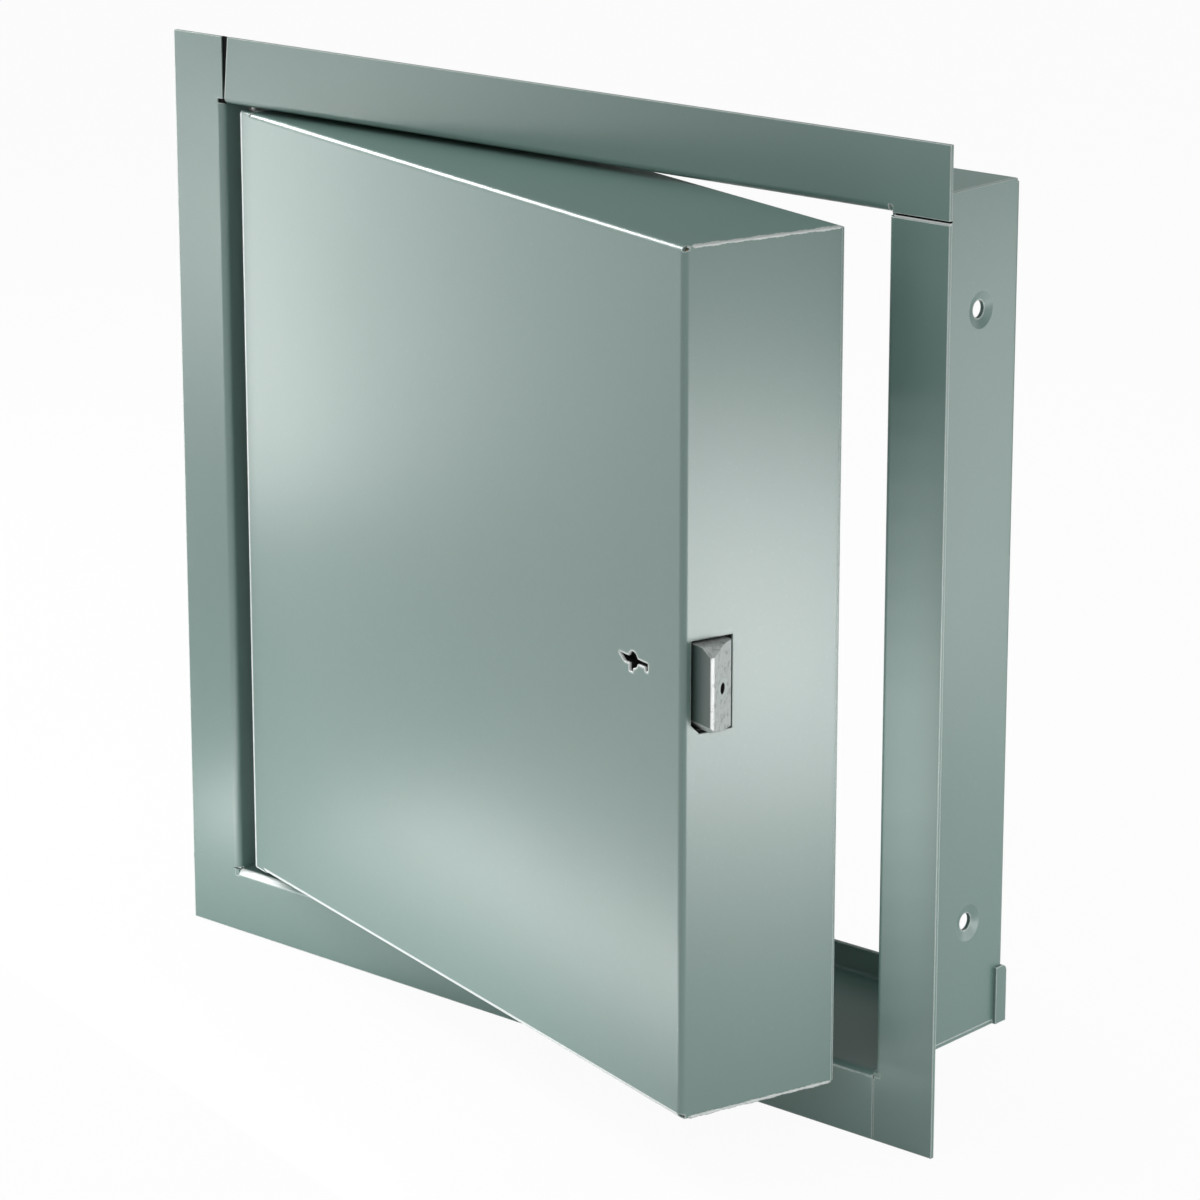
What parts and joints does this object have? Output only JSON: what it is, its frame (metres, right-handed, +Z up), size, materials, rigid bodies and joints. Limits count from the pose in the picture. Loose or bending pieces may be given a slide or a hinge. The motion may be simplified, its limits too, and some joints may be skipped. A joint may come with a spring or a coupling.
{
  "type": "insulated access panel",
  "caption": "Flanged steel frame for a wall or ceiling opening with a thick insulated door on a concealed continuous hinge and a key-worked spring bolt.",
  "frame": {"origin": "centre of the opening in the wall surface, which is the plane of the flange's back face", "axes": "+Z up along the hinge, +X from the hinge jamb to the latch jamb, +Y into the wall; the door opens towards -Y"},
  "size_m": [0.3668, 0.1534, 0.3556],
  "materials": {
    "frame_primer": "satin grey-green primer",
    "door_primer": "satin grey-green primer",
    "bare_steel": "mill",
    "zinc_plate": "bright zinc",
    "mineral_wool": "fibrous board",
    "black_plastic": "moulded"
  },
  "bodies": {
    "frame": {"frame_head": "frame_primer", "frame_sill": "frame_primer", "frame_hinge_jamb": "frame_primer", "frame_latch_jamb": "frame_primer", "strike_plate": "bare_steel", "hinge_frame_leaf": "bare_steel", "hinge_pin": "zinc_plate", "frame_leaf_rivets": "zinc_plate"},
    "door": {"door_pan": "door_primer", "door_back_cover": "door_primer", "back_cover_screws": "zinc_plate", "insulation_core": "mineral_wool", "hinge_door_leaf": "bare_steel", "door_leaf_rivets": "zinc_plate", "latch_case": "zinc_plate", "latch_case_studs": "bare_steel", "latch_case_nuts": "zinc_plate", "key_guide": "zinc_plate", "latch_spring": "zinc_plate"},
    "bolt": {"latch_bolt": "door_primer", "bolt_nose_rivet": "bare_steel", "release_rod": "zinc_plate", "release_knob": "black_plastic"},
    "key": {"key_cam": "zinc_plate", "cam_drive_pin": "bare_steel"}
  },
  "joints": [
    {"name": "door_hinge", "type": "hinge", "parent": "frame", "child": "door", "pos_m": [-0.1468, 0.0044, 0], "axis": [0, 0, -1], "range_deg": [-16, 74]},
    {"name": "key_turn", "type": "hinge", "parent": "door", "child": "key", "pos_m": [0.11108, -0.06965, 0.0045], "axis": [0.2756, 0.9613, 0], "range_deg": [0, 60]},
    {"name": "bolt_slide", "type": "slide", "parent": "door", "child": "bolt", "axis": [0.9613, -0.2756, 0], "range_m": [-0.0095, 0], "stiffness_N_per_m": 400, "springref_m": 0.01, "deforming": ["latch_spring"]}
  ],
  "couplings": [
    {"joint": "key_turn", "follows": "bolt_slide", "rad_per_m": -110.23}
  ]
}
